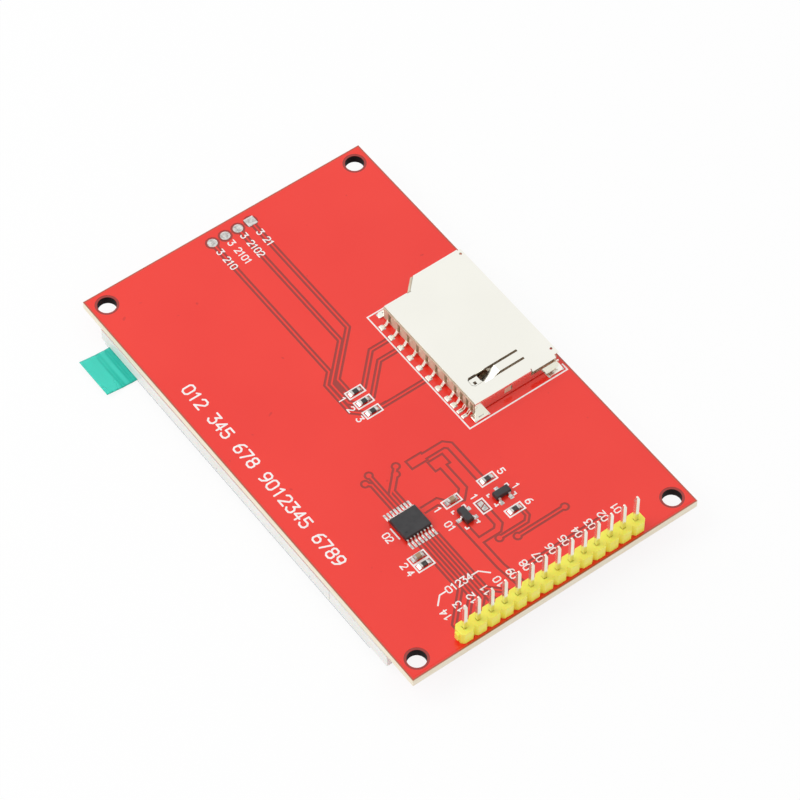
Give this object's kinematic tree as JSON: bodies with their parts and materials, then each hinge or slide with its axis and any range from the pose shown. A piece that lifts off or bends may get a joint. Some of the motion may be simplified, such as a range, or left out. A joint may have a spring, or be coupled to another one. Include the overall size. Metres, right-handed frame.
{
  "type": "tft display module",
  "caption": "Colour TFT display module lying face down, with a red circuit board, a pin header, a full-size memory card socket and a touch panel.",
  "frame": {"origin": "middle of the circuit board on its component side, which is also the middle of the four mounting holes", "axes": "+Z out of the component side, +Y along the board away from the pin header, +X towards the edge where the card slot opens; the display faces -Z"},
  "size_m": [0.0609, 0.0892, 0.0142],
  "materials": {
    "board_red": "glossy",
    "tinned": "satin",
    "white_print": "matte",
    "header_yellow": "satin",
    "pin_plating": "polished",
    "shell_steel": "satin",
    "base_ivory": "matte",
    "contact_plating": "satin",
    "chip_black": "matte",
    "lead_tin": "satin",
    "resistor_black": "glossy",
    "capacitor_tan": "matte",
    "foam_tape": "matte",
    "frame_white": "satin",
    "reflector_silver": "mirror",
    "clear_guide": "clear",
    "diffuser_white": "matte",
    "polarizer_dark": "glossy",
    "display_glass": "polished",
    "flex_amber": "glossy",
    "touch_glass": "polished",
    "touch_film": "satin",
    "cover_film": "glossy",
    "tab_teal": "glossy"
  },
  "bodies": {
    "root": {"circuit_board": "board_red", "solder": "tinned", "silkscreen": "white_print", "header_housing": "header_yellow", "header_pin_1": "pin_plating", "header_pin_2": "pin_plating", "header_pin_3": "pin_plating", "header_pin_4": "pin_plating", "header_pin_5": "pin_plating", "header_pin_6": "pin_plating", "header_pin_7": "pin_plating", "header_pin_8": "pin_plating", "header_pin_9": "pin_plating", "header_pin_10": "pin_plating", "header_pin_11": "pin_plating", "header_pin_12": "pin_plating", "header_pin_13": "pin_plating", "header_pin_14": "pin_plating", "socket_shell": "shell_steel", "socket_base": "base_ivory", "socket_contact_1": "contact_plating", "socket_contact_2": "contact_plating", "socket_contact_3": "contact_plating", "socket_contact_4": "contact_plating", "socket_contact_5": "contact_plating", "socket_contact_6": "contact_plating", "socket_contact_7": "contact_plating", "socket_contact_8": "contact_plating", "socket_contact_9": "contact_plating", "card_switch_contacts": "contact_plating", "touch_controller": "chip_black", "regulator": "chip_black", "transistor": "chip_black", "chip_leads": "lead_tin", "resistor_1": "resistor_black", "resistor_2": "resistor_black", "resistor_3": "resistor_black", "resistor_4": "resistor_black", "resistor_5": "resistor_black", "resistor_6": "resistor_black", "capacitor_1": "capacitor_tan", "capacitor_2": "capacitor_tan", "chip_end_caps": "tinned", "mounting_tape": "foam_tape", "backlight_frame": "frame_white", "reflector_sheet": "reflector_silver", "light_guide": "clear_guide", "backlight_strip": "flex_amber", "diffuser_sheet": "diffuser_white", "rear_polarizer": "polarizer_dark", "lcd_rear_glass": "display_glass", "lcd_front_glass": "display_glass", "front_polarizer": "polarizer_dark", "driver_chip": "chip_black", "display_flex": "flex_amber", "touch_glass": "touch_glass", "touch_film": "touch_film", "touch_flex": "flex_amber", "protective_film": "cover_film", "pull_tab": "tab_teal"}
  },
  "joints": []
}
